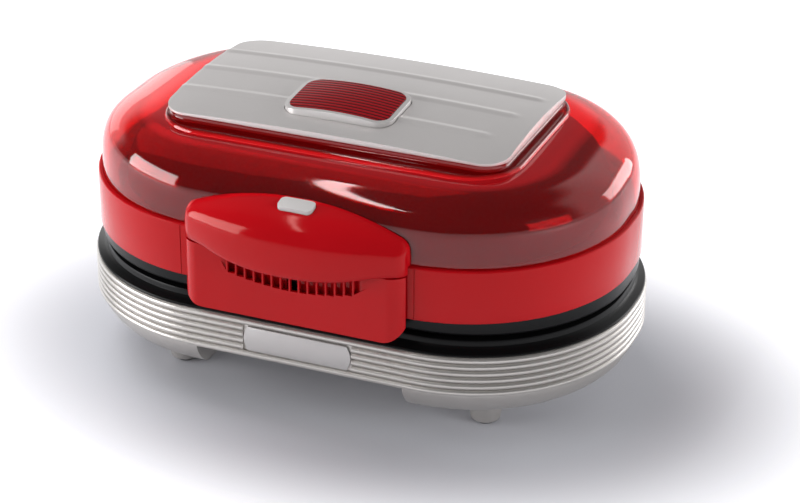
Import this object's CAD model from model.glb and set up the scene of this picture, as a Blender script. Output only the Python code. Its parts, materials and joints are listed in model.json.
"""Countertop grill with a domed red lid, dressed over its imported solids. Shapes are in millimetres."""

import json
import math

import bmesh
import bpy
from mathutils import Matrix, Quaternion, Vector

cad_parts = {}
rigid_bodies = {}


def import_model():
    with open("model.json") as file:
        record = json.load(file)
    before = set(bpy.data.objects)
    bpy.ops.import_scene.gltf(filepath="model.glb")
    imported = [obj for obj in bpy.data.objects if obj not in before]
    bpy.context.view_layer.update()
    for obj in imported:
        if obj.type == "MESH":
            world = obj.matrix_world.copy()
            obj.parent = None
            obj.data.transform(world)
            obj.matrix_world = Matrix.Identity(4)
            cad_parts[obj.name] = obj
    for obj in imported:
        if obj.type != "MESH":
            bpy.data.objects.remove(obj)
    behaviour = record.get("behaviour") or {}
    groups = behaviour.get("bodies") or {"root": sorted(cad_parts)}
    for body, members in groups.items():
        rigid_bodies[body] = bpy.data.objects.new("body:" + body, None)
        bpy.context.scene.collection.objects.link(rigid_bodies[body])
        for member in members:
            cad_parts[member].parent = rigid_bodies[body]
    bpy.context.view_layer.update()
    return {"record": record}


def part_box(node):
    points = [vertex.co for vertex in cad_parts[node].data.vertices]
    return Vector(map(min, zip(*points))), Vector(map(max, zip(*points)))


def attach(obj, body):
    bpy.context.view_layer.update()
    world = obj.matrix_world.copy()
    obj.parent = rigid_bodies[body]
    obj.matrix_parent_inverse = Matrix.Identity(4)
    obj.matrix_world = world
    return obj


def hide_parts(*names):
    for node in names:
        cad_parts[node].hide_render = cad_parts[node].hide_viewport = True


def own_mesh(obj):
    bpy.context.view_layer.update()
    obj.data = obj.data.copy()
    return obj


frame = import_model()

MM = 0.001


# Places read from the frame, in millimetres about the middle of the ring
def box_mm(node):
    low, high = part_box(node)
    return [value / MM for value in low], [value / MM for value in high]


SHELL_LOW, SHELL_HIGH = box_mm("base_shell")
CENTRE_Y = (SHELL_LOW[1] + SHELL_HIGH[1]) / 2
HALF_LENGTH = SHELL_HIGH[0]
HALF_DEPTH = (SHELL_HIGH[1] - SHELL_LOW[1]) / 2
FRONT, BACK = -HALF_DEPTH, HALF_DEPTH
POD_FOOT, RING_TOP = SHELL_LOW[2], SHELL_HIGH[2]
BAND_LOW, BAND_HIGH = box_mm("lid_band")
BAND_FOOT, BAND_TOP = BAND_LOW[2], BAND_HIGH[2]
BAND_DRAWN_IN = HALF_LENGTH - BAND_HIGH[0]
PAD_TOP = box_mm("dome")[1][2]
HANDLE_LOW, HANDLE_HIGH = box_mm("handle_body")
HANDLE_FOOT, HANDLE_TOP = HANDLE_LOW[2], HANDLE_HIGH[2]

# Sizes that several pieces share
CORNER = 98.0
CORNER_STEPS = 26
GAP = 0.3
PAST = 2.0
SMALL_HOLE = 1.8
HOLE_SIDES = 24


def place(x, y, z):
    """A point given about the middle of the ring in millimetres, in metres of the frame."""
    return Vector((x * MM, (y + CENTRE_Y) * MM, z * MM))


def step(x, y, z):
    return (x * MM, y * MM, z * MM)


def on_side(side, near, far):
    """Two distances from the middle as a low and a high place on side -1 or 1."""
    return sorted((side * near, side * far))


# Shaping: every piece starts as a primitive and is worked in edit mode
def edit(piece):
    bpy.context.view_layer.objects.active = piece
    bpy.ops.object.mode_set(mode="EDIT")


def rest(piece):
    bpy.ops.object.mode_set(mode="OBJECT")
    return piece


def alone(piece):
    bpy.ops.object.select_all(action="DESELECT")
    piece.select_set(True)
    bpy.context.view_layer.objects.active = piece


def pick(piece, test):
    """Selects the points of a piece in edit mode whose place in millimetres passes the test."""
    bpy.ops.mesh.select_all(action="DESELECT")
    mesh = bmesh.from_edit_mesh(piece.data)
    for point in mesh.verts:
        x, y, z = point.co / MM
        if test(x, y - CENTRE_Y, z, point.index):
            point.select_set(True)
    mesh.select_flush_mode()
    bmesh.update_edit_mesh(piece.data)


def new_point(name, x, y, z):
    """A piece of one point, left in edit mode."""
    bpy.ops.object.select_all(action="DESELECT")
    bpy.ops.mesh.primitive_plane_add(size=MM, location=(0.0, 0.0, 0.0))
    piece = bpy.context.object
    piece.name = name
    edit(piece)
    bpy.ops.mesh.select_all(action="SELECT")
    bpy.ops.mesh.merge(type="CENTER")
    bpy.ops.transform.translate(value=place(x, y, z))
    return piece


def draw(points):
    """Draws on from the selected point through points, each (x, y, z)."""
    for before, after in zip(points, points[1:]):
        move = step(*(b - a for a, b in zip(before, after)))
        bpy.ops.mesh.extrude_vertices_move(TRANSFORM_OT_translate={"value": move})


def merge_doubles():
    bpy.ops.mesh.select_all(action="SELECT")
    bpy.ops.mesh.remove_doubles(threshold=1e-6)
    bpy.ops.mesh.select_all(action="SELECT")


def close_up(piece, caps=True):
    """Merges doubles, closes open ends and turns the faces outwards."""
    merge_doubles()
    if caps:
        bpy.ops.mesh.fill_holes(sides=0)
        bpy.ops.mesh.select_all(action="SELECT")
    bpy.ops.mesh.normals_make_consistent(inside=False)
    return rest(piece)


def extrude(x, y, z):
    bpy.ops.mesh.extrude_region_move(TRANSFORM_OT_translate={"value": step(x, y, z)})


def swept(name, profile, ring=False, drawn_in=0.0):
    """Carries a profile of (inset, height) round the plan of the grill; a ring's profile is closed."""
    half_length = HALF_LENGTH - drawn_in
    points = [(half_length - inset, 0.0, height) for inset, height in profile]
    piece = new_point(name, *points[0])
    draw(points + points[:1] if ring else points)
    merge_doubles()
    run_x, run_y = half_length - CORNER, HALF_DEPTH - CORNER
    corners = ((run_x, run_y), (-run_x, run_y), (-run_x, -run_y), (run_x, -run_y))
    runs = ((0.0, run_y), (-2 * run_x, 0.0), (0.0, -2 * run_y), (2 * run_x, 0.0))
    for (x, y), run in zip(corners, runs):
        extrude(*run, 0.0)
        bpy.ops.mesh.spin(steps=CORNER_STEPS, angle=math.pi / 2, center=place(x, y, 0.0),
                          axis=(0.0, 0.0, -1.0))
    extrude(0.0, run_y, 0.0)
    return close_up(piece, caps=not ring)


def outline_loop(piece, half_length, half_depth, radius, height, quarter, x, y):
    """Adds a rounded rectangle of points to a piece in edit mode and returns its range of numbers."""
    start = len(bmesh.from_edit_mesh(piece.data).verts)
    count = 4 * quarter
    bpy.ops.mesh.primitive_circle_add(
        vertices=count, radius=radius * MM / math.cos(math.pi / count),
        location=place(x, y, height), rotation=(0.0, 0.0, math.pi / count),
    )
    for axis, run in ((0, half_length - radius), (1, half_depth - radius)):
        for side in (1, -1):
            pick(piece, lambda px, py, pz, index: index >= start and side * ((px - x, py - y)[axis]) > 0)
            move = (side * run, 0.0, 0.0) if axis == 0 else (0.0, side * run, 0.0)
            bpy.ops.transform.translate(value=step(*move))
    return start, start + count


def bridge(piece, first, second):
    pick(piece, lambda x, y, z, index: first[0] <= index < first[1] or second[0] <= index < second[1])
    bpy.ops.mesh.bridge_edge_loops()


def lofted(name, levels, quarter=20, x=0.0, y=0.0):
    """Skin through rounded rectangles, each (half length, half depth, corner radius, height)."""
    piece = new_point(name, 0.0, 0.0, 0.0)
    bpy.ops.mesh.delete(type="VERT")
    loops = [outline_loop(piece, *level, quarter, x, y) for level in levels]
    for first, second in zip(loops, loops[1:]):
        bridge(piece, first, second)
    return close_up(piece)


def sections(name, outlines):
    """Skin through drawn closed outlines, each a list of (x, y, z) with the same count."""
    piece = new_point(name, *outlines[0][0])
    loops = []
    for number, outline in enumerate(outlines):
        if number:
            pick(piece, lambda x, y, z, index: index == loops[-1][0])
            move = step(*(b - a for a, b in zip(outlines[number - 1][0], outline[0])))
            bpy.ops.mesh.duplicate_move(TRANSFORM_OT_translate={"value": move})
        start = len(bmesh.from_edit_mesh(piece.data).verts) - 1
        draw(outline)
        loops.append((start, start + len(outline)))
        pick(piece, lambda x, y, z, index: index in (start, start + len(outline) - 1))
        bpy.ops.mesh.edge_face_add()
    for first, second in zip(loops, loops[1:]):
        bridge(piece, first, second)
    return close_up(piece)


def settled(name):
    """Names the primitive just added and applies its place, turn and scale."""
    piece = bpy.context.object
    piece.name = name
    bpy.ops.object.transform_apply(location=True, rotation=True, scale=True)
    return piece


def block(name, x0, x1, y0, y1, z0, z1):
    """Plain cutter or core between two corners."""
    bpy.ops.object.select_all(action="DESELECT")
    bpy.ops.mesh.primitive_cube_add(size=1.0, location=place((x0 + x1) / 2, (y0 + y1) / 2, (z0 + z1) / 2),
                                    scale=step(x1 - x0, y1 - y0, z1 - z0))
    return settled(name)


def across(name, x0, x1, low, high):
    """Block that runs through from front to back."""
    return block(name, x0, x1, FRONT - PAST, BACK + PAST, low, high)


def rod(name, radius, start, end, end_radius=None, sides=40):
    """Round bar or cone between two points."""
    bpy.ops.object.select_all(action="DESELECT")
    a, b = place(*start), place(*end)
    bpy.ops.mesh.primitive_cone_add(
        vertices=sides, radius1=radius * MM, radius2=(radius if end_radius is None else end_radius) * MM,
        depth=(b - a).length, location=(a + b) / 2, rotation=(b - a).to_track_quat("Z", "Y").to_euler())
    return settled(name)


def upright(name, radius, x, y, low, high, top_radius=None, sides=40):
    return rod(name, radius, (x, y, low), (x, y, high), top_radius, sides)


def modify(piece, kind, **settings):
    """Adds a modifier to a piece and applies it."""
    alone(piece)
    modifier = piece.modifiers.new(kind.lower(), kind)
    for key, value in settings.items():
        setattr(modifier, key, value)
    bpy.ops.object.modifier_apply(modifier=modifier.name)


def combine(piece, other, operation):
    """Cuts, joins or intersects a piece with another, which is used up."""
    modify(piece, "BOOLEAN", operation=operation, object=other, solver="EXACT")
    spent = other.data
    bpy.data.objects.remove(other)
    bpy.data.meshes.remove(spent)
    return piece


def merged(name, *pieces):
    """Several separate bodies as one mesh."""
    bpy.ops.object.select_all(action="DESELECT")
    for piece in pieces:
        piece.select_set(True)
    bpy.context.view_layer.objects.active = pieces[0]
    bpy.ops.object.join()
    pieces[0].name = name
    return pieces[0]


def round_edges(piece, width, segments=2, angle=40.0):
    modify(piece, "BEVEL", width=width * MM, segments=segments, limit_method="ANGLE",
           angle_limit=math.radians(angle), use_clamp_overlap=True)


def dress(piece, node, body, finish, smooth=32.0, flat_faces=False):
    """Smooth shading, finish and ties to the frame; large flat faces can be shaded evenly."""
    alone(piece)
    bpy.ops.object.shade_smooth_by_angle(angle=math.radians(smooth))
    if flat_faces:
        modify(piece, "WEIGHTED_NORMAL", keep_sharp=True)
    piece.data.materials.clear()
    piece.data.materials.append(finish)
    piece.name = "smooth_" + node
    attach(piece, body)
    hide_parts(node)


# Materials: small helpers for node trees
class Finish:
    """One material under construction, with short calls for its nodes."""

    def __init__(self, name):
        self.material = bpy.data.materials.new(name)
        self.material.use_nodes = True
        self.tree = self.material.node_tree
        self.tree.nodes.clear()
        self.output = self.tree.nodes.new("ShaderNodeOutputMaterial")
        self.shader = self.tree.nodes.new("ShaderNodeBsdfPrincipled")
        self.link(self.shader.outputs["BSDF"], self.output.inputs["Surface"])

    def node(self, kind, **values):
        made = self.tree.nodes.new(kind)
        for key, value in values.items():
            setattr(made, key, value)
        return made

    def link(self, source, target):
        self.tree.links.new(source, target)

    def set(self, **values):
        for key, value in values.items():
            self.shader.inputs[key.replace("_", " ")].default_value = value

    def coordinates(self, scale=(1.0, 1.0, 1.0), shift=(0.0, 0.0, 0.0)):
        source = self.node("ShaderNodeTexCoord")
        mapping = self.node("ShaderNodeMapping")
        mapping.inputs["Scale"].default_value = scale
        mapping.inputs["Location"].default_value = shift
        self.link(source.outputs["Object"], mapping.inputs["Vector"])
        return mapping.outputs["Vector"]

    def noise(self, vector, scale, detail, roughness):
        made = self.node("ShaderNodeTexNoise")
        made.inputs["Scale"].default_value = scale
        made.inputs["Detail"].default_value = detail
        made.inputs["Roughness"].default_value = roughness
        self.link(vector, made.inputs["Vector"])
        return made.outputs["Fac"]

    def ramp(self, value, stops):
        made = self.node("ShaderNodeValToRGB")
        elements = made.color_ramp.elements
        while len(elements) < len(stops):
            elements.new(0.5)
        for element, (position, colour) in zip(elements, stops):
            element.position = position
            element.color = (*colour, 1.0)
        self.link(value, made.inputs["Fac"])
        return made.outputs["Color"]

    def span_of(self, value, low, high):
        """Share of the way from low to high."""
        made = self.node("ShaderNodeMapRange")
        made.inputs["From Min"].default_value = low
        made.inputs["From Max"].default_value = high
        self.link(value, made.inputs["Value"])
        return made.outputs["Result"]

    def bump(self, height, strength, distance):
        made = self.node("ShaderNodeBump")
        made.inputs["Strength"].default_value = strength
        made.inputs["Distance"].default_value = distance
        self.link(height, made.inputs["Height"])
        self.link(made.outputs["Normal"], self.shader.inputs["Normal"])


def rgb(red, green, blue):
    """Linear colour of a screen colour given in 0 to 255."""
    def linear(value):
        share = value / 255.0
        return share / 12.92 if share <= 0.04045 else ((share + 0.055) / 1.055) ** 2.4
    return (linear(red), linear(green), linear(blue))


GRAIN_INPUTS = (
    ("Vector", "NodeSocketVector"), ("Drift Scale", "NodeSocketFloat"), ("Grain Scale", "NodeSocketFloat"),
    ("Dark", "NodeSocketColor"), ("Light", "NodeSocketColor"),
    ("Roughness Low", "NodeSocketFloat"), ("Roughness High", "NodeSocketFloat"),
)
GRAIN_OUTPUTS = (
    ("Color", "NodeSocketColor"), ("Roughness", "NodeSocketFloat"), ("Height", "NodeSocketFloat"),
)


def make_grain():
    """Soft colour drift and a fine surface texture, shared by the plain finishes."""
    group = bpy.data.node_groups.new("surface_grain", "ShaderNodeTree")
    for way, sockets in (("INPUT", GRAIN_INPUTS), ("OUTPUT", GRAIN_OUTPUTS)):
        for name, kind in sockets:
            group.interface.new_socket(name=name, in_out=way, socket_type=kind)
    nodes, link = group.nodes, group.links.new
    source, result = nodes.new("NodeGroupInput"), nodes.new("NodeGroupOutput")
    drift, grain = nodes.new("ShaderNodeTexNoise"), nodes.new("ShaderNodeTexNoise")
    drift.inputs["Detail"].default_value = 3.0
    grain.inputs["Detail"].default_value = 5.0
    for texture, scale in ((drift, "Drift Scale"), (grain, "Grain Scale")):
        link(source.outputs["Vector"], texture.inputs["Vector"])
        link(source.outputs[scale], texture.inputs["Scale"])
    spread = nodes.new("ShaderNodeMapRange")
    spread.inputs["From Min"].default_value = 0.3
    spread.inputs["From Max"].default_value = 0.7
    link(drift.outputs["Fac"], spread.inputs["Value"])
    blend = nodes.new("ShaderNodeMix")
    blend.data_type = "RGBA"
    link(spread.outputs["Result"], blend.inputs["Factor"])
    link(source.outputs["Dark"], blend.inputs["A"])
    link(source.outputs["Light"], blend.inputs["B"])
    rough = nodes.new("ShaderNodeMapRange")
    link(grain.outputs["Fac"], rough.inputs["Value"])
    link(source.outputs["Roughness Low"], rough.inputs["To Min"])
    link(source.outputs["Roughness High"], rough.inputs["To Max"])
    link(blend.outputs["Result"], result.inputs["Color"])
    link(rough.outputs["Result"], result.inputs["Roughness"])
    link(grain.outputs["Fac"], result.inputs["Height"])
    return group


GRAIN = make_grain()
GRAIN_DEPTH = 0.1


def grained(name, dark, light, drift, rough_low, rough_high, bump=0.0, grain=12.0, **constants):
    """A finish made with the shared grain; constants go straight onto the shader."""
    made = Finish(name)
    made.set(**constants)
    texture = made.node("ShaderNodeGroup", node_tree=GRAIN)
    made.link(made.coordinates(), texture.inputs["Vector"])
    for key, value in (("Drift Scale", drift), ("Grain Scale", drift * grain), ("Dark", (*dark, 1.0)),
                       ("Light", (*light, 1.0)), ("Roughness Low", rough_low),
                       ("Roughness High", rough_high)):
        texture.inputs[key].default_value = value
    made.link(texture.outputs["Color"], made.shader.inputs["Base Color"])
    made.link(texture.outputs["Roughness"], made.shader.inputs["Roughness"])
    if bump:
        made.bump(texture.outputs["Height"], bump, GRAIN_DEPTH * MM)
    return made


SILVER = grained("silver_paint", rgb(186, 182, 178), rgb(196, 192, 188), 14.0, 0.30, 0.38, bump=0.25,
                 grain=60.0, Metallic=0.72).material
RED = grained("red_gloss", rgb(180, 11, 20), rgb(188, 13, 24), 9.0, 0.08, 0.12, Specular_IOR_Level=0.26,
              Specular_Tint=(1.0, 0.55, 0.5, 1.0)).material
BLACK = grained("black_gloss", rgb(8, 8, 9), rgb(13, 13, 14), 12.0, 0.24, 0.36, bump=0.15, grain=60.0,
                Specular_IOR_Level=0.16).material
NON_STICK = grained("non_stick", rgb(34, 34, 36), rgb(46, 46, 48), 30.0, 0.42, 0.58, bump=0.5, grain=30.0,
                    Metallic=0.2).material
RUBBER = grained("rubber", rgb(24, 24, 24), rgb(34, 34, 34), 40.0, 0.7, 0.9, bump=0.4).material
STEEL = grained("steel", rgb(150, 150, 150), rgb(176, 176, 176), 25.0, 0.25, 0.4, bump=0.2,
                Metallic=1.0).material
GREY = grained("button_grey", rgb(196, 193, 192), rgb(205, 202, 201), 30.0, 0.25, 0.35, bump=0.1).material
OILED_WIRE = grained("oiled_wire", rgb(44, 30, 30), rgb(58, 40, 40), 60.0, 0.4, 0.6, bump=0.3,
                     Metallic=0.5).material
CERAMIC = grained("ceramic", rgb(220, 214, 202), rgb(232, 226, 214), 40.0, 0.3, 0.5, bump=0.2).material
LINER = grained("dome_liner", rgb(46, 4, 7), rgb(56, 5, 8), 10.0, 0.5, 0.6, Specular_IOR_Level=0.2).material

BRUSH_LINES = (6.0, 900.0, 900.0)


def brushed_metal(name, dark, light):
    """Satin metal with very fine lines along its length."""
    made = grained(name, dark, light, 7.0, 0.36, 0.44, Metallic=0.5)
    lines = made.noise(made.coordinates(scale=BRUSH_LINES), 1.0, 2.0, 0.55)
    made.bump(lines, 0.06, 0.05 * MM)
    return made.material


DOME_SHADES_LOW, DOME_SHADES_HIGH = 110.0, 160.0
DOME_GLOW = (
    (0.0, (0.2, 0.004, 0.006)), (0.11, (0.2, 0.004, 0.006)), (0.14, (0.0, 0.0, 0.0)),
    (0.833, (0.0, 0.0, 0.0)), (0.85, (0.9, 0.02, 0.03)), (0.88, (0.8, 0.02, 0.03)),
    (0.9, (0.04, 0.001, 0.002)), (1.0, (0.02, 0.0, 0.0)),
)
WHITE, DEEP = (1.0, 1.0, 1.0), (0.2, 0.2, 0.2)
DOME_DEPTH = ((0.0, WHITE), (0.88, WHITE), (0.91, DEEP), (1.0, DEEP))


def clear_red():
    """Polished translucent red, lighter at its foot and low lip, and deeper on the wall of the pad."""
    made = grained("red_clear", rgb(236, 10, 18), rgb(240, 13, 21), 8.0, 0.03, 0.06, IOR=1.49,
                   Transmission_Weight=0.92, Specular_IOR_Level=0.27, Emission_Strength=0.19)
    cut = made.node("ShaderNodeSeparateXYZ")
    made.link(made.coordinates(), cut.inputs["Vector"])
    height = made.span_of(cut.outputs["Z"], DOME_SHADES_LOW * MM, DOME_SHADES_HIGH * MM)
    made.link(made.ramp(height, DOME_GLOW), made.shader.inputs["Emission Color"])
    deeper = made.node("ShaderNodeMix", data_type="RGBA", blend_type="MULTIPLY")
    deeper.inputs["Factor"].default_value = 1.0
    made.link(made.shader.inputs["Base Color"].links[0].from_socket, deeper.inputs["A"])
    made.link(made.ramp(height, DOME_DEPTH), deeper.inputs["B"])
    made.link(deeper.outputs["Result"], made.shader.inputs["Base Color"])
    return made.material


BADGE_LINES = 102.0


def badge_red():
    """Deep red enamel with fine darker lines along its length."""
    made = Finish("badge_red")
    made.set(Roughness=0.2, Specular_IOR_Level=0.25)
    wave = made.node("ShaderNodeTexWave", wave_type="BANDS", bands_direction="Y")
    wave.inputs["Scale"].default_value = BADGE_LINES
    made.link(made.coordinates(), wave.inputs["Vector"])
    made.link(made.ramp(wave.outputs["Fac"], ((0.12, rgb(54, 2, 8)), (0.4, rgb(146, 7, 18)))),
              made.shader.inputs["Base Color"])
    made.bump(wave.outputs["Fac"], 0.3, 0.2 * MM)
    return made.material


BRUSHED = brushed_metal("brushed_metal", rgb(208, 204, 203), rgb(218, 214, 213))
BRUSHED_SIGN = brushed_metal("brushed_nameplate", rgb(178, 175, 174), rgb(188, 185, 184))
CLEAR_RED = clear_red()
BADGE_RED = badge_red()

SLOT_FINISHES = {
    "silver_paint": SILVER, "brushed_metal": BRUSHED, "red_gloss": RED, "red_clear": CLEAR_RED,
    "badge_red": BADGE_RED, "black_gloss": BLACK, "non_stick": NON_STICK, "rubber": RUBBER,
    "steel": STEEL, "button_grey": GREY, "ceramic": CERAMIC,
}


def dress_nodes():
    """Each carried-over node takes the finish of its slot."""
    for entry in frame["record"]["subparts"]:
        part = bpy.data.objects[entry["node"]]
        part.data.materials.clear()
        part.data.materials.append(SLOT_FINISHES[entry["material_slot"]])


dress_nodes()


# Base: ribbed ring with pods, nameplate, feet
RING_FOOT = RING_TOP - 24.0
RING_EDGE = 1.2
RIB_COUNT = 6
RIB_PITCH = (RING_TOP - RING_FOOT) / RIB_COUNT
RIB_FORM = ((0.05, 1.3), (0.1, 0.85), (0.18, 0.42), (0.32, 0.1), (0.5, 0.0),
            (0.68, 0.1), (0.82, 0.42), (0.9, 0.85), (0.95, 1.3))
GROOVE_DEPTH = 1.9
POD_SIDE = ((15.0, 22.0), (12.4, 23.3), (9.5, 25.4), (6.7, 28.1), (4.5, 31.0), (2.6, 34.4),
            (1.6, 36.8), (1.3, 38.0))
SHELL_INSIDE = ((4.7, RING_TOP), (4.7, 38.0), (7.3, 31.0), (12.1, 25.5), (17.8, POD_FOOT))
TUNNEL_HALF, TUNNEL_TOP, TUNNEL_WALL = 63.0, 38.0, 2.8
WALL_OVERLAP = 0.1
SIGN_HALF, SIGN_BOW, SIGN_FOOT, SIGN_TOP = 30.2, 2.5, 42.6, 57.6
SIGN_FACE, SIGN_BACK, SIGN_SEAT_BACK = 0.2, 1.3, 1.6
SIGN_END_STEPS = 16
GLAND_X, GLAND_Z, GLAND_HOLE = 98.0, 50.0, 7.3
GLAND_IN_SHELL, GLAND_IN_RIM = 12.0, 17.0


def outer_side():
    """Outside of pods and ring from the foot up, each point (inset, height)."""
    side = list(POD_SIDE)
    for rib in range(RIB_COUNT):
        foot = RING_FOOT + rib * RIB_PITCH
        side += [(inset, foot + share * RIB_PITCH) for share, inset in RIB_FORM]
        if rib < RIB_COUNT - 1:
            side.append((GROOVE_DEPTH, foot + RIB_PITCH))
    return side + [(RING_EDGE, RING_TOP)]


def gland_hole(start, end):
    return rod("gland_hole", GLAND_HOLE, (GLAND_X, start, GLAND_Z), (GLAND_X, end, GLAND_Z))


def make_base_shell():
    shell = swept("shell", outer_side() + list(SHELL_INSIDE), ring=True)
    tunnel = across("tunnel", -TUNNEL_HALF, TUNNEL_HALF, POD_FOOT - PAST, TUNNEL_TOP)
    combine(shell, tunnel, "DIFFERENCE")
    walls = swept("pod_walls", outer_side())
    slabs = merged("slabs", *(
        across("slab", *on_side(side, TUNNEL_HALF - WALL_OVERLAP, TUNNEL_HALF + TUNNEL_WALL),
               POD_FOOT - PAST / 2, TUNNEL_TOP + TUNNEL_WALL)
        for side in (-1, 1)))
    combine(walls, slabs, "INTERSECT")
    combine(shell, walls, "UNION")
    seat_half = SIGN_HALF + SIGN_BOW + GAP
    seat = block("seat", -seat_half, seat_half, FRONT - PAST, FRONT + SIGN_SEAT_BACK,
                 SIGN_FOOT - GAP, SIGN_TOP + GAP)
    combine(shell, seat, "DIFFERENCE")
    combine(shell, gland_hole(BACK - GLAND_IN_SHELL, BACK + PAST), "DIFFERENCE")
    dress(shell, "base_shell", "base", SILVER, smooth=40.0)


COVER_SIDE = ((16.5, 22.3), (13.4, 24.8))
COVER_INSIDE, COVER_ROOM_FOOT, COVER_ROOM_TOP = 66.1, 20.0, 27.0
STUB_X, STUB_Y, STUB_FOOT, STUB_TOP = 95.0, 53.0, 1.6, 23.5
STUB_RADIUS, STUB_ROOT_RADIUS = 8.4, 11.2
FOOT_RADIUS, FOOT_HEIGHT = 5.3, 3.0
SCREW_X, SCREW_Y, SCREW_FOOT = 112.0, 30.0, 21.0
HEAD_HOLE, HEAD_TOP = 3.7, 23.6


def make_pod_covers():
    for name, side in (("left", -1), ("right", 1)):
        cover = swept("cover", COVER_SIDE)
        room = block("side_room", *on_side(side, COVER_INSIDE, HALF_LENGTH + PAST), FRONT, BACK,
                     COVER_ROOM_FOOT, COVER_ROOM_TOP)
        combine(cover, room, "INTERSECT")
        for end_name, end in (("front", -1), ("rear", 1)):
            foot_at, screw_at = (side * STUB_X, end * STUB_Y), (side * SCREW_X, end * SCREW_Y)
            stub = upright("stub", STUB_RADIUS, *foot_at, STUB_FOOT, STUB_TOP, STUB_ROOT_RADIUS, sides=56)
            round_edges(stub, 2.0, 6)
            combine(cover, stub, "UNION")
            for hole in (
                upright("foot_seat", FOOT_RADIUS + GAP, *foot_at, 0.0, FOOT_HEIGHT + GAP),
                upright("head_seat", HEAD_HOLE, *screw_at, SCREW_FOOT, HEAD_TOP, sides=HOLE_SIDES),
                upright("shank_hole", SMALL_HOLE, *screw_at, SCREW_FOOT, COVER_ROOM_TOP, sides=HOLE_SIDES),
            ):
                combine(cover, hole, "DIFFERENCE")
            pad = upright("pad", FOOT_RADIUS, *foot_at, 0.0, FOOT_HEIGHT)
            round_edges(pad, 0.5)
            dress(pad, f"foot_pad_{end_name}_{name}", "base", RUBBER)
        dress(cover, f"pod_cover_{name}", "base", SILVER, smooth=40.0)


def make_nameplate():
    """Blank plate whose two ends are bowed outwards."""
    outline = []
    for side, start, end in ((1, SIGN_FOOT, SIGN_TOP), (-1, SIGN_TOP, SIGN_FOOT)):
        for turn in range(SIGN_END_STEPS + 1):
            share = turn / SIGN_END_STEPS
            x = side * (SIGN_HALF + SIGN_BOW * math.sin(math.pi * share))
            outline.append((x, start + (end - start) * share))
    plate = sections("plate", [[(x, FRONT + y, z) for x, z in outline] for y in (SIGN_BACK, SIGN_FACE)])
    round_edges(plate, 0.3)
    dress(plate, "nameplate", "base", BRUSHED_SIGN)


# Black housings: the rims of base and lid, with ledges for the cooking plates
BASE_RIM = (
    (5.0, 44.0), (5.0, 62.4), (1.5, 62.4), (1.0, 62.7), (0.9, 63.2), (1.3, 63.8), (4.6, 65.2),
    (5.6, 65.9), (6.3, 66.5), (6.5, 67.2), (6.6, 69.0), (6.9, 69.7), (7.5, 70.0), (13.3, 70.0),
    (13.7, 69.6), (13.7, 66.0), (18.7, 66.0), (18.7, 63.0), (8.0, 63.0), (8.0, 44.0),
)
BASE_RIM_TOP = 70.0
LID_RIM = (
    (13.7, 73.4), (13.3, 73.0), (7.4, 73.0), (6.2, 73.3), (5.4, 74.0), (5.0, 75.2), (5.0, 82.2),
    (12.0, 82.2), (12.0, 80.0), (18.7, 80.0), (18.7, 77.0), (13.7, 77.0),
)
LID_RIM_FOOT, LID_RIM_TOP = 73.0, 82.2
COLLAR_INSET, COLLAR_FOOT, COLLAR_TOP = 2.8, 81.9, 107.7
COLLAR_ROOM = ((10.0, 79.0), (10.0, 109.0))
LATCH_HALF, LATCH_BACK = 9.0, FRONT + 15.5
HOOK_FRONT, HOOK_ROOM_FOOT = FRONT + 4.9, 54.5
LEVER_ROOM_TOP = 100.0
PIVOT_HALF, PIVOT_Y, PIVOT_Z = 11.3, FRONT + 6, 92.0
HINGE_NEAR, HINGE_FAR, HINGE_FRONT, HINGE_ROOM_FOOT = 49.6, 80.4, BACK - 7.7, 64.0


def latch_room(name, front, foot, top, back=LATCH_BACK):
    return block(name, -LATCH_HALF, LATCH_HALF, front, back, foot, top)


def hinge_rooms(low, high):
    return merged("hinge_rooms", *(
        block("hinge_room", *on_side(side, HINGE_NEAR, HINGE_FAR), HINGE_FRONT, BACK + PAST / 2, low, high)
        for side in (-1, 1)))


def make_base_housing():
    rim = swept("rim", BASE_RIM, ring=True)
    above = BASE_RIM_TOP + PAST / 2
    combine(rim, latch_room("hook_room", HOOK_FRONT, HOOK_ROOM_FOOT, above), "DIFFERENCE")
    combine(rim, hinge_rooms(HINGE_ROOM_FOOT, above), "DIFFERENCE")
    combine(rim, gland_hole(BACK - GLAND_IN_RIM, BACK), "DIFFERENCE")
    dress(rim, "base_housing", "base", BLACK)


def make_lid_housing():
    under = swept("under", LID_RIM, ring=True)
    below = LID_RIM_FOOT - PAST / 2
    collar = swept("collar", [(COLLAR_INSET, COLLAR_FOOT), (COLLAR_INSET, COLLAR_TOP)],
                   drawn_in=BAND_DRAWN_IN)
    combine(collar, swept("collar_room", COLLAR_ROOM), "DIFFERENCE")
    combine(under, collar, "UNION")
    combine(under, latch_room("lever_room", FRONT - PAST / 2, below, LEVER_ROOM_TOP), "DIFFERENCE")
    combine(under, hinge_rooms(below, LID_RIM_TOP), "DIFFERENCE")
    pivot_hole = rod("pivot_hole", SMALL_HOLE, (-PIVOT_HALF, PIVOT_Y, PIVOT_Z),
                     (PIVOT_HALF, PIVOT_Y, PIVOT_Z), sides=HOLE_SIDES)
    combine(under, pivot_hole, "DIFFERENCE")
    dress(under, "lid_housing", "lid", BLACK)


# Lid: band, dome, liner, top plate with its badge
BAND_SIDE = (
    (0.5, 82.5), (0.1, 82.9), (0.0, 83.6), (0.0, 112.9), (0.2, 113.6), (0.8, 114.0), (2.5, 114.0),
    (2.5, 110.0), (11.5, 110.0), (11.5, 108.0), (2.5, 108.0), (2.5, 82.5),
)
WINDOW_FOOT, WINDOW_BACK = 84.5, 2.8
SEAM_NEAR, SEAM_FAR, SEAM_DEPTH = 69.9, 70.5, 0.7


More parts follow.
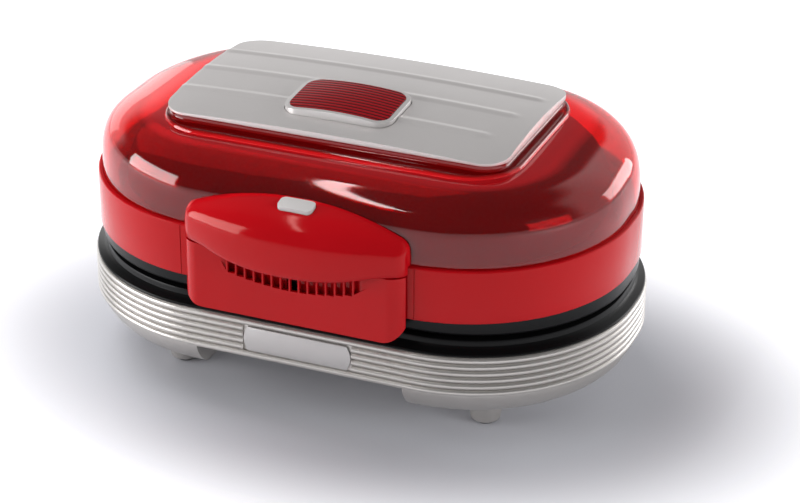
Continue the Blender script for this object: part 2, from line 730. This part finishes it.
def make_band():
    band = swept("band", BAND_SIDE, ring=True, drawn_in=BAND_DRAWN_IN)
    window = latch_room("latch_window", FRONT - PAST / 2, WINDOW_FOOT, COLLAR_TOP, back=FRONT + WINDOW_BACK)
    combine(band, window, "DIFFERENCE")
    for side in (-1, 1):
        seam = block("seam", *on_side(side, SEAM_NEAR, SEAM_FAR), FRONT - PAST / 2, FRONT + SEAM_DEPTH,
                     BAND_FOOT - PAST / 2, BAND_TOP + PAST / 2)
        combine(band, seam, "DIFFERENCE")
    dress(band, "lid_band", "lid", RED)


DOME_FOOT, DOME_TOP, DOME_WALL = 110.3, PAD_TOP - 4.0, 3.0
DOME_SET_IN = 2.8
DOME_STEPS = 20
PLATEAU_X, PLATEAU_Y, PLATEAU_CORNER = 108.0, 67.0, 32.0
LIP_RISE, LIP_OUT = 2.4, 1.6
LIP_FORM = ((0.35, 1.45), (0.75, 1.1), (0.93, 0.6), (1.0, 0.0))
PAD_X, PAD_Y, PAD_CORNER = 101.4, 57.7, 13.7
PAD_SIDE = ((2.4, DOME_TOP), (1.0, DOME_TOP + 0.2), (0.3, DOME_TOP + 0.7), (0.0, DOME_TOP + 1.5),
            (0.0, PAD_TOP - 0.3), (-0.3, PAD_TOP))


def dome_levels(inset, foot):
    """Rounded rectangles from the foot of the dome up to the low lip round its plateau."""
    outside = DOME_SET_IN + inset
    top = DOME_TOP - inset

    def level(z, share, out):
        def blend(low, high):
            return low + (high - low) * share
        return (blend(HALF_LENGTH - BAND_DRAWN_IN - outside, PLATEAU_X - outside / 2 + out),
                blend(HALF_DEPTH - outside, PLATEAU_Y - outside / 2 + out),
                blend(CORNER - outside, PLATEAU_CORNER), z)

    levels = [level(foot, 0.0, LIP_OUT)]
    for turn in range(DOME_STEPS + 1):
        angle = (turn / DOME_STEPS) ** 1.15 * math.pi / 2
        share = 1 - max(0.0, math.cos(angle)) ** 0.92
        rise = math.sin(angle) ** 0.5
        levels.append(level(BAND_TOP + (top - LIP_RISE - BAND_TOP) * rise, share, LIP_OUT))
    for share_up, out in LIP_FORM:
        levels.append(level(top - LIP_RISE * (1 - share_up), 1.0, out))
    return levels


def make_dome():
    pad = [(PAD_X + out, PAD_Y + out, PAD_CORNER + out, z) for out, z in PAD_SIDE]
    dome = lofted("dome", dome_levels(0.0, DOME_FOOT) + pad, quarter=24)
    room = lofted("dome_room", dome_levels(DOME_WALL, DOME_FOOT - PAST / 2), quarter=24)
    combine(dome, room, "DIFFERENCE")
    dress(dome, "dome", "lid", CLEAR_RED, smooth=40.0)


LINER_PLAN, LINER_DRAWN_IN, LINER_WALL = (142.0, 92.8, 88.0), (40.0, 32.0, 58.0), 1.6
LINER_UNDER_DOME = 6.6
LINER_STEPS = 12


def liner_levels(inset):
    """Rounded rectangles from the foot of the liner up to its flat top."""
    height = DOME_TOP - LINER_UNDER_DOME - inset - DOME_FOOT
    levels = []
    for turn in range(LINER_STEPS + 1):
        angle = turn / LINER_STEPS * math.pi / 2
        share = 1 - max(0.0, math.cos(angle)) ** 1.7
        plan = [size - inset - share * drawn_in for size, drawn_in in zip(LINER_PLAN, LINER_DRAWN_IN)]
        levels.append((*plan, DOME_FOOT + height * math.sin(angle) ** 0.8))
    return [(*levels[0][:3], DOME_FOOT - inset)] + levels[1:]


def make_liner():
    liner = lofted("liner", liner_levels(0.0), quarter=16)
    combine(liner, lofted("liner_room", liner_levels(LINER_WALL), quarter=16), "DIFFERENCE")
    dress(liner, "dome_liner", "lid", LINER, smooth=40.0)


TOP_X, TOP_Y = 103.2, 59.5
TOP_PLAN = (TOP_X, TOP_Y, 15.5)
TOP_GRID = (84, 150)
TOP_THICKNESS = 11.0
CROWN_ALONG, CROWN_ACROSS = 2.6, 4.6
CROWN_BASE = PAD_TOP + 8.0 - CROWN_ALONG - CROWN_ACROSS
CROWN_REACH_X, CROWN_REACH_Y = TOP_X + 0.8, TOP_Y + 0.8
PLATE_FOOT = PAD_TOP + GAP
RIDGE_ROWS, RIDGE_RISE, RIDGE_REACH, RIDGE_END = (-30.0, 0.0, 30.0), 0.75, 4.6, 88.0
BADGE_X, BADGE_Y = -2.1, -23.8
BEZEL_PLAN, POCKET_PLAN, FACE_PLAN = (32.9, 20.9, 10.0), (30.4, 18.6, 7.8), (30.2, 18.4, 7.6)
BEZEL_RISE, FACE_RISE, POCKET_FLOOR, FACE_UNDER = 5.0, 5.3, 1.5, 1.8
BADGE_SHEET_X, BADGE_SHEET_Y, BADGE_SHEET_DEPTH = 38.0, 26.0, 24.0
BADGE_ARCH, BADGE_ARCH_REACH, BADGE_TILT, BADGE_TILT_REACH = 3.25, 38.4, 3.5, 54.0
SEAT_PLAN, SEAT_FOOT = (33.3, 21.1, 10.0), 156.0
ABOVE_PLATE, ABOVE_BADGE = 180.0, 185.0


def sheet_grid(name, half_x, half_y, x, y, z, columns, rows):
    """Flat grid of points, left in edit mode."""
    bpy.ops.object.select_all(action="DESELECT")
    bpy.ops.mesh.primitive_grid_add(x_subdivisions=columns, y_subdivisions=rows, size=2.0,
                                    location=place(x, y, z))
    bpy.context.object.scale = (half_x * MM, half_y * MM, 1.0)
    piece = settled(name)
    edit(piece)
    return piece


def lift(piece, test, height, reach, falloff):
    """Raises the points that pass the test, and their neighbours less and less within reach."""
    pick(piece, test)
    bpy.ops.transform.translate(value=step(0.0, 0.0, height), use_proportional_edit=True,
                                proportional_edit_falloff=falloff, proportional_size=reach * MM)


def straight(name, plan, foot, top, quarter, x=0.0, y=0.0):
    """Upright prism over a plan given as (half length, half depth, corner radius)."""
    return lofted(name, [(*plan, foot), (*plan, top)], quarter, x, y)


def make_top_plate():
    """Sheet crowned both ways, with three long ridges that end short of the right edge."""
    plate = sheet_grid("plate", TOP_X + 1, TOP_Y + 1, 0.0, 0.0, CROWN_BASE, *TOP_GRID)
    lift(plate, lambda x, y, z, index: abs(y) < 0.3, CROWN_ACROSS, CROWN_REACH_Y, "INVERSE_SQUARE")
    lift(plate, lambda x, y, z, index: abs(x) < 1.0, CROWN_ALONG, CROWN_REACH_X, "INVERSE_SQUARE")
    for row in RIDGE_ROWS:
        lift(plate, lambda x, y, z, index: abs(y - row) < 0.42 and -TOP_X < x < RIDGE_END + row / 6,
             RIDGE_RISE, RIDGE_REACH, "SMOOTH")
    rest(plate)
    modify(plate, "SOLIDIFY", thickness=TOP_THICKNESS * MM, offset=-1.0)
    form = straight("plate_form", TOP_PLAN, PLATE_FOOT, ABOVE_PLATE, 16)
    combine(plate, form, "INTERSECT")
    round_edges(plate, 1.1, 4, 55.0)
    seat = straight("badge_seat", SEAT_PLAN, SEAT_FOOT, ABOVE_PLATE, 10, BADGE_X, BADGE_Y)
    combine(plate, seat, "DIFFERENCE")
    dress(plate, "top_plate", "lid", BRUSHED, smooth=30.0)


def arched(name, rise, plan, foot):
    """Body under the arched surface of the badge, which is higher toward the back, inside a plan."""
    piece = sheet_grid(name, BADGE_SHEET_X, BADGE_SHEET_Y, BADGE_X, BADGE_Y, CROWN_BASE,
                       round(BADGE_SHEET_X), round(BADGE_SHEET_Y))
    lift(piece, lambda x, y, z, index: abs(x - BADGE_X) < 0.6, BADGE_ARCH, BADGE_ARCH_REACH,
         "INVERSE_SQUARE")
    lift(piece, lambda x, y, z, index: y > BADGE_Y + BADGE_SHEET_Y - 0.6, BADGE_TILT, BADGE_TILT_REACH,
         "INVERSE_SQUARE")
    bpy.ops.mesh.select_all(action="SELECT")
    bpy.ops.transform.translate(value=step(0.0, 0.0, rise))
    rest(piece)
    modify(piece, "SOLIDIFY", thickness=BADGE_SHEET_DEPTH * MM, offset=-1.0)
    form = straight(name + "_form", plan, foot, ABOVE_BADGE, 14, BADGE_X, BADGE_Y)
    return combine(piece, form, "INTERSECT")


def make_badge():
    bezel = arched("bezel", BEZEL_RISE, BEZEL_PLAN, PLATE_FOOT)
    round_edges(bezel, 2.3, 6, 50.0)
    pocket = straight("pocket", POCKET_PLAN, PLATE_FOOT + POCKET_FLOOR, ABOVE_BADGE, 12, BADGE_X, BADGE_Y)
    combine(bezel, pocket, "DIFFERENCE")
    dress(bezel, "badge_bezel", "lid", BRUSHED, smooth=30.0)
    face = arched("face", FACE_RISE, FACE_PLAN, PLATE_FOOT + FACE_UNDER)
    round_edges(face, 0.9, 4, 50.0)
    dress(face, "badge_insert", "lid", BADGE_RED, smooth=30.0)


# Handle: slotted body, lens-shaped cap, button and its spring
HANDLE_HALF = 67.0
HANDLE_FRONT = FRONT - 8.0
BODY_HALF_DEPTH, BODY_WALL = 16.0, 2.2
BODY_PLAN = (HANDLE_HALF, BODY_HALF_DEPTH, 11.0)
FACE_CORNER, FACE_STEPS = 13.0, 12
HOLLOW_HALF = 61.5
ROOT_NEAR, ROOT_FAR, ROOT_FOOT, ROOT_TOP = 4.2, 63.0, 76.0, 104.0
SLOT_COUNT, SLOT_PITCH, SLOT_HALF, SLOT_DEPTH = 14, 5.4, 2.2, 3.2
SLOT_TOP = HANDLE_TOP - 3
SLOT_MIDDLE_FOOT, SLOT_END_RISE = HANDLE_TOP - 18.5, 5.0
SLOPED_ENDS = ((38.4, 47.5, 3.0), (-38.4, -41.8, 1.6))
SLOPE_ABOVE_SLOT, SLOPE_RISE = 0.4, 6.0
BACKING_EXTRA, BACKING_DEPTH = 2.0, 5.0


def keep_out(clear):
    """Space of the band that the handle pieces stay clear of."""
    return swept("band_room", [(-clear, 70.0), (-clear, BAND_TOP + clear)], drawn_in=BAND_DRAWN_IN)


def slot_foot(x):
    """Height of the slots' lower ends, which lie on a shallow curve."""
    share = x / (SLOT_COUNT * SLOT_PITCH / 2)
    return SLOT_MIDDLE_FOOT + SLOT_END_RISE * share * share


def body_form():
    """Body with round upright edges, and a front whose lower corners are round too."""
    body = straight("body", BODY_PLAN, HANDLE_FOOT, HANDLE_TOP, 12, y=HANDLE_FRONT + BODY_HALF_DEPTH)
    front = []
    for side, start in ((1, 0.0), (-1, 90.0)):
        for turn in range(FACE_STEPS + 1):
            angle = math.radians(start + turn * 90.0 / FACE_STEPS)
            front.append((side * (HANDLE_HALF - FACE_CORNER) + FACE_CORNER * math.cos(angle),
                          HANDLE_FOOT + FACE_CORNER - FACE_CORNER * math.sin(angle)))
    front += [(-HANDLE_HALF, HANDLE_TOP + 1), (HANDLE_HALF, HANDLE_TOP + 1)]
    mask = sections("mask", [[(x, y, z) for x, z in front] for y in (HANDLE_FRONT - PAST, FRONT + 5)])
    return combine(body, mask, "INTERSECT")


def slope_slot_end(body, near, far, depth):
    """Sloped hollow that runs out beside the last slot, cut into a backing behind the front wall."""
    low = slot_foot(near) + SLOPE_ABOVE_SLOT
    back = HANDLE_FRONT + 2.0
    backing = block("backing", *sorted((near, far + math.copysign(BACKING_EXTRA, far))), back,
                    back + BACKING_DEPTH, low - BACKING_EXTRA, HANDLE_TOP - BACKING_EXTRA)
    combine(body, backing, "UNION")
    facet = block("end_facet", *sorted((near, far)), HANDLE_FRONT - 1, HANDLE_FRONT + depth, low, SLOT_TOP)
    edit(facet)
    pick(facet, lambda x, y, z, index: abs(x) > abs(near) + 1 and y > HANDLE_FRONT)
    bpy.ops.transform.translate(value=step(0.0, -depth - GAP, 0.0))
    pick(facet, lambda x, y, z, index: abs(x) > abs(near) + 1 and z < low + 1)
    bpy.ops.transform.translate(value=step(0.0, 0.0, SLOPE_RISE))
    combine(body, rest(facet), "DIFFERENCE")


def make_handle_body():
    body = body_form()
    hollow = block("hollow", -HOLLOW_HALF, HOLLOW_HALF, HANDLE_FRONT + BODY_WALL, FRONT + 6,
                   HANDLE_FOOT + BODY_WALL, HANDLE_TOP + PAST)
    combine(body, hollow, "DIFFERENCE")
    combine(body, keep_out(1.5), "DIFFERENCE")
    roots = merged("roots", *(
        block("root", *on_side(side, ROOT_NEAR, ROOT_FAR), FRONT - 2.4, FRONT - GAP, ROOT_FOOT, ROOT_TOP)
        for side in (-1, 1)))
    combine(body, roots, "UNION")
    for near, far, depth in SLOPED_ENDS:
        slope_slot_end(body, near, far, depth)
    cutters = []
    for number in range(SLOT_COUNT):
        x = (number - (SLOT_COUNT - 1) / 2) * SLOT_PITCH
        cutters.append(block("slot", x - SLOT_HALF, x + SLOT_HALF, HANDLE_FRONT - PAST / 2,
                             HANDLE_FRONT + SLOT_DEPTH, slot_foot(x), SLOT_TOP))
    combine(body, merged("slots", *cutters), "DIFFERENCE")
    round_edges(body, 0.35, 2, 50.0)
    dress(body, "handle_body", "lid", RED, smooth=35.0, flat_faces=True)


CAP_FOOT = HANDLE_TOP + GAP
CAP_BACK = FRONT + 12.0
CAP_END_TOP, CAP_MIDDLE_TOP = HANDLE_TOP + 20.0, HANDLE_TOP + 32.3
CAP_END_OUT, CAP_MIDDLE_OUT = 4.3, 20.5
CAP_WALL = 4.0
CAP_SECTIONS, CAP_ARC_STEPS = 30, 18
END_ROUND_FROM, END_DEPTH_SHARE, END_HEIGHT_SHARE = 0.93, 0.6, 0.82
ROLL_DROP, ROLL_ENDS_AT = 5.4, 0.76
ROLL_FORM = ((2.4, 0.0), (1.2, 0.35), (0.4, 1.2))
ROLL_THICKNESS, ROLL_CREASE, ROLL_CREASE_AT_ENDS = 3.4, 2.6, 3.6
BUTTON_X, BUTTON_Y = 2.5, FRONT - 2.4
BUTTON_PLAN, BUTTON_FOOT, BUTTON_ABOVE_CAP = (10.2, 4.8, 3.0), 126.0, 1.3
ABOVE_CAP = 150.0


def cap_outline(share, grown, foot, rolled):
    """Upright section of the cap at a share of its half length; the front edge can roll under in a lip."""
    def blend(low, high, part):
        return low + (high - low) * part
    swell = (1 - min(1.0, abs(share)) ** 2.27) ** 1.03
    top = blend(CAP_END_TOP, CAP_MIDDLE_TOP, swell) + grown
    front = FRONT - blend(CAP_END_OUT, CAP_MIDDLE_OUT, swell) - grown
    beyond = max(0.0, abs(share) - END_ROUND_FROM) / (1 - END_ROUND_FROM)
    end_round = math.sqrt(max(0.0, 1 - beyond ** 2))
    deep, high = blend(END_DEPTH_SHARE, 1.0, end_round), blend(END_HEIGHT_SHARE, 1.0, end_round)
    back = CAP_BACK - grown
    front = back + (front - back) * deep
    x = share * (HANDLE_HALF + grown)
    outline = [(x, back, foot)]
    crease = foot
    if rolled:
        drop = ROLL_DROP * max(0.0, 1 - (abs(share) / ROLL_ENDS_AT) ** 2.5)
        crease = foot - drop + ROLL_CREASE + ROLL_CREASE_AT_ENDS * abs(share) ** 4
        heel = max(HANDLE_FRONT - 0.5, front + ROLL_THICKNESS)
        outline += [(x, heel, foot), (x, heel, foot - drop)]
        outline += [(x, front + inward, foot - drop + up) for inward, up in ROLL_FORM]
    for turn in range(CAP_ARC_STEPS + 1):
        angle = (turn / CAP_ARC_STEPS) ** 1.3 * math.pi / 2
        reach = max(0.0, math.cos(angle)) ** 0.78
        rise = math.sin(angle) ** 0.54
        z = crease + (foot + (top - foot) * high - crease) * rise
        outline.append((x, back + (front - back) * reach, z))
    return outline[:-1] + [(x, back, outline[-1][2])]


def cap_body(name, grown, foot, rolled=False):
    shares = [-math.cos(turn / CAP_SECTIONS * math.pi) for turn in range(CAP_SECTIONS + 1)]
    return sections(name, [cap_outline(share, grown, foot, rolled) for share in shares])


def dome_keep_out(clear):
    """Space of the dome that the handle pieces stay clear of."""
    levels = dome_levels(0.0, BAND_TOP - PAST)
    return lofted("dome_keep", [tuple(size + clear for size in level) for level in levels], quarter=24)


def make_handle_cap():
    cap = cap_body("cap", 0.0, CAP_FOOT, rolled=True)
    combine(cap, cap_body("cap_room", -CAP_WALL, CAP_FOOT - PAST / 2), "DIFFERENCE")
    combine(cap, keep_out(GAP), "DIFFERENCE")
    combine(cap, dome_keep_out(GAP), "DIFFERENCE")
    hole_plan = [size + GAP for size in BUTTON_PLAN]
    hole = straight("button_hole", hole_plan, CAP_FOOT, ABOVE_CAP, 8, BUTTON_X, BUTTON_Y)
    combine(cap, hole, "DIFFERENCE")
    round_edges(cap, 0.5, 2, 55.0)
    dress(cap, "handle_cap", "lid", RED, smooth=38.0)


POST_Y, POST_RADIUS, POST_FOOT = FRONT - 3.2, 1.5, 98.0
CROSSBAR = (-3.0, 3.0, FRONT - 6.6, FRONT - 0.4, 123.2, 129.0)


def make_button():
    """Button that follows the cap's top, with the post that pushes the latch lever under it."""
    button = straight("button", BUTTON_PLAN, BUTTON_FOOT, ABOVE_CAP, 10, BUTTON_X, BUTTON_Y)
    combine(button, cap_body("button_form", BUTTON_ABOVE_CAP, CAP_FOOT), "INTERSECT")
    combine(button, dome_keep_out(2 * GAP), "DIFFERENCE")
    round_edges(button, 1.6, 6, 45.0)
    combine(button, block("crossbar", *CROSSBAR), "UNION")
    combine(button, upright("post", POST_RADIUS, 0.0, POST_Y, POST_FOOT, 124.0, sides=28), "UNION")
    dress(button, "release_button", "button", GREY, smooth=40.0)


WIRE_RADIUS, WIRE_SIDES = 0.34, 10
COIL_RADIUS, COIL_TURNS, COIL_PITCH, COIL_STEPS = 2.04, 9, 2.08, 20
COIL_FOOT, SHELF_TOP = 103.6, 103.2


def make_spring():
    """Coil under the button, squeezed as the button goes down."""
    bpy.ops.object.select_all(action="DESELECT")
    bpy.ops.mesh.primitive_circle_add(vertices=WIRE_SIDES, radius=WIRE_RADIUS * MM,
                                      location=(0.0, 0.0, 0.0))
    spring = bpy.context.object
    edit(spring)
    bpy.ops.mesh.select_all(action="SELECT")
    bpy.ops.transform.rotate(value=math.pi / 2, orient_axis="X", center_override=(0.0, 0.0, 0.0))
    bpy.ops.transform.translate(value=step(COIL_RADIUS, 0.0, 0.0))
    rest(spring)
    modify(spring, "SCREW", steps=COIL_STEPS, render_steps=COIL_STEPS, iterations=COIL_TURNS,
           screw_offset=COIL_PITCH * MM)
    edit(spring)
    bpy.ops.mesh.select_all(action="SELECT")
    bpy.ops.transform.translate(value=place(0.0, POST_Y, COIL_FOOT))
    close_up(spring)
    dress(spring, "button_spring", "lid", OILED_WIRE)
    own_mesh(spring)


make_base_shell()
make_pod_covers()
make_nameplate()
make_base_housing()
make_lid_housing()
make_band()
make_dome()
make_liner()
make_top_plate()
make_badge()
make_handle_body()
make_handle_cap()
make_button()
make_spring()


# Camera at the photograph's angle
PHOTO_WIDTH, PHOTO_HEIGHT = 800.0, 503.0
CAMERA_AZIMUTH = math.radians(22.96)
CAMERA_ELEVATION = math.radians(26.4)
CAMERA_DISTANCE = 1.4793
CAMERA_FOCAL_PIXELS = 2518.2
CAMERA_AIM_HEIGHT = 65.6
CAMERA_CENTRE = (367.96, 248.69)
SENSOR_WIDTH = 36.0


def make_camera():
    aim = place(0.0, 0.0, CAMERA_AIM_HEIGHT)
    back = Vector((
        math.sin(CAMERA_AZIMUTH) * math.cos(CAMERA_ELEVATION),
        -math.cos(CAMERA_AZIMUTH) * math.cos(CAMERA_ELEVATION),
        math.sin(CAMERA_ELEVATION),
    ))
    data = bpy.data.cameras.new("camera")
    data.sensor_width = SENSOR_WIDTH
    data.lens = CAMERA_FOCAL_PIXELS / PHOTO_WIDTH * SENSOR_WIDTH
    data.shift_x = (PHOTO_WIDTH / 2 - CAMERA_CENTRE[0]) / PHOTO_WIDTH
    data.shift_y = (CAMERA_CENTRE[1] - PHOTO_HEIGHT / 2) / PHOTO_WIDTH
    data.clip_end = 50.0
    camera = bpy.data.objects.new("camera", data)
    bpy.context.scene.collection.objects.link(camera)
    camera.location = aim + back * CAMERA_DISTANCE
    camera.rotation_euler = (-back).to_track_quat("-Z", "Y").to_euler()
    bpy.context.scene.camera = camera


make_camera()

# Floor, world and lamps, in metres
FLOOR_GREY = (0.58, 0.585, 0.63, 1.0)
SHADOW_PLAN = {"scale": (0.7, 1.0, 1.0), "shift": (-0.01, 0.0, 0.0)}
SHADOW_PALER = (0.115, 0.23, 0.0, 0.78)
RISE_TO_RIGHT = (-0.12, 0.15, 0.0, 0.4)
WHITE_BEHIND = (0.0, 0.4, 0.0, 1.0)
WHITE_LOW_DOWN = (0.24, 0.46, 1.0, 0.0)
DIM_TO_WHITE = (0.0, 1.0, 0.13, 0.98)
LAMP_AIM = (0.0, 0.0, 0.1)


def joined(tree, operation, first, second):
    """Product, difference or greater of two values."""
    made = tree.nodes.new("ShaderNodeMath")
    made.operation = operation
    tree.links.new(first, made.inputs[0])
    tree.links.new(second, made.inputs[1])
    return made.outputs["Value"]


def eased(tree, value, span):
    """Value carried softly over a span of (from low, from high, to low, to high)."""
    made = tree.nodes.new("ShaderNodeMapRange")
    made.interpolation_type = "SMOOTHSTEP"
    for key, number in zip(("From Min", "From Max", "To Min", "To Max"), span):
        made.inputs[key].default_value = number
    tree.links.new(value, made.inputs["Value"])
    return made.outputs["Result"]


def seen_directly(tree):
    """1 for rays from the camera, off gloss or through glass."""
    path = tree.nodes.new("ShaderNodeLightPath")
    seen = joined(tree, "MAXIMUM", path.outputs["Is Camera Ray"], path.outputs["Is Glossy Ray"])
    return joined(tree, "MAXIMUM", seen, path.outputs["Is Transmission Ray"])


def make_floor():
    """Pale floor, white away from the grill so that only the shadow round it shows."""
    bpy.ops.object.select_all(action="DESELECT")
    bpy.ops.mesh.primitive_plane_add(size=30.0, location=(0.0, 0.0, 0.0))
    floor = bpy.context.object
    floor.name = "floor"
    made = Finish("floor_white")
    made.set(Roughness=0.9, Base_Color=FLOOR_GREY, Emission_Color=(1.0, 1.0, 1.0, 1.0))
    away = made.node("ShaderNodeVectorMath", operation="LENGTH")
    made.link(made.coordinates(**SHADOW_PLAN), away.inputs[0])
    paler = eased(made.tree, away.outputs["Value"], SHADOW_PALER)
    glow = joined(made.tree, "MULTIPLY", seen_directly(made.tree), paler)
    made.link(glow, made.shader.inputs["Emission Strength"])
    floor.data.materials.append(made.material)


def make_world():
    """Studio that is white low down behind the grill, and higher up on its right, and dim elsewhere."""
    world = bpy.data.worlds.new("studio")
    bpy.context.scene.world = world
    world.use_nodes = True
    tree = world.node_tree
    tree.nodes.clear()
    output = tree.nodes.new("ShaderNodeOutputWorld")
    light = tree.nodes.new("ShaderNodeBackground")
    source = tree.nodes.new("ShaderNodeTexCoord")
    cut = tree.nodes.new("ShaderNodeSeparateXYZ")
    tree.links.new(source.outputs["Generated"], cut.inputs["Vector"])
    rise = eased(tree, cut.outputs["X"], RISE_TO_RIGHT)
    height = joined(tree, "SUBTRACT", cut.outputs["Z"], rise)
    behind = eased(tree, cut.outputs["Y"], WHITE_BEHIND)
    backdrop = joined(tree, "MULTIPLY", behind, eased(tree, height, WHITE_LOW_DOWN))
    tree.links.new(eased(tree, backdrop, DIM_TO_WHITE), light.inputs["Color"])
    tree.links.new(light.outputs["Background"], output.inputs["Surface"])


def make_lamp(name, direction, distance, size, power, turn=0.0, mirrored=True):
    """Soft box facing the grill, turned about its own axis; mirrored says whether it shows in gloss."""
    data = bpy.data.lights.new(name, "AREA")
    data.shape = "RECTANGLE"
    data.size, data.size_y = size
    data.energy = power
    lamp = bpy.data.objects.new(name, data)
    bpy.context.scene.collection.objects.link(lamp)
    towards = Vector(direction).normalized()
    lamp.location = Vector(LAMP_AIM) + towards * distance
    lamp.visible_glossy = mirrored
    own_turn = Quaternion((0.0, 0.0, 1.0), math.radians(turn))
    lamp.rotation_euler = (towards.to_track_quat("Z", "Y") @ own_turn).to_euler()


bpy.context.scene.view_settings.view_transform = "Standard"
make_floor()
make_world()
make_lamp("lamp_left", (-0.857, -0.515, 0.17), 1.4, (1.05, 0.56), 16.0)
make_lamp("lamp_over", (-0.328, -0.322, 0.892), 1.49, (0.05, 1.4), 3.0, turn=48.0)
make_lamp("lamp_right", (0.62, 0.77, 0.17), 1.4, (0.75, 0.42), 5.0)
make_lamp("lamp_back_left", (-0.78, 0.62, 0.12), 1.4, (0.8, 0.4), 1.0)
make_lamp("lamp_key", (-0.7, 0.3, 0.95), 1.6, (1.4, 1.2), 16.0, mirrored=False)
make_lamp("lamp_end", (0.97, -0.2, 0.2), 1.3, (0.7, 0.4), 8.5, mirrored=False)
